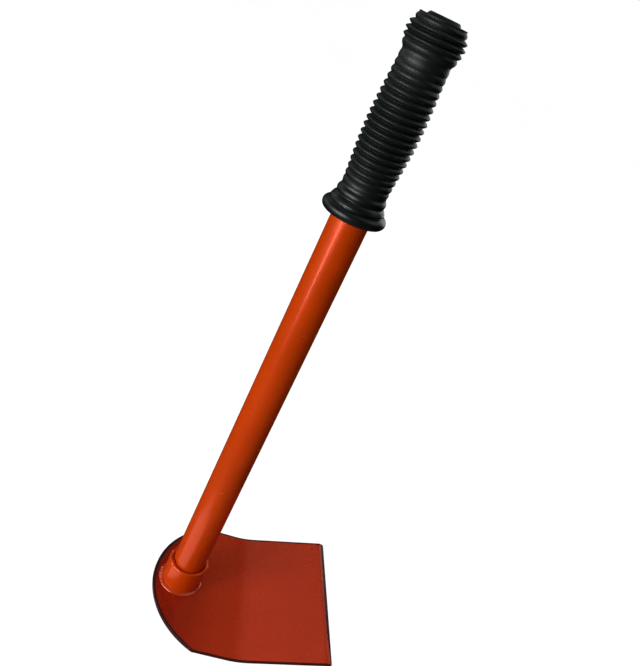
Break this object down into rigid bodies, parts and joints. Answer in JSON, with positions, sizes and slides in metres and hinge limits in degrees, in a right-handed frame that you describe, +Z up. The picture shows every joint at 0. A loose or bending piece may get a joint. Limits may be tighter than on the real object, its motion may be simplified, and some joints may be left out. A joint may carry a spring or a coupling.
{
  "type": "grub hoe",
  "caption": "Short-handled grub hoe: round-backed steel blade bent up at the front, welded eye collar, straight tube handle and ribbed grip with a hand flange.",
  "frame": {"origin": "middle of the bottom of the bounding box, on the plane of the flat underside of the blade's eye, which the hoe stands on", "axes": "+Z up the handle towards the grip, +X from the handle towards the cutting edge, +Y across the blade"},
  "size_m": [0.144, 0.1258, 0.4571],
  "materials": {
    "blade_paint": "glossy",
    "handle_paint": "glossy",
    "grip_vinyl": "satin"
  },
  "bodies": {
    "root": {"blade": "blade_paint", "eye_collar": "handle_paint", "collar_weld": "handle_paint", "handle_tube": "handle_paint", "tube_weld": "blade_paint", "grip": "grip_vinyl"}
  },
  "joints": []
}
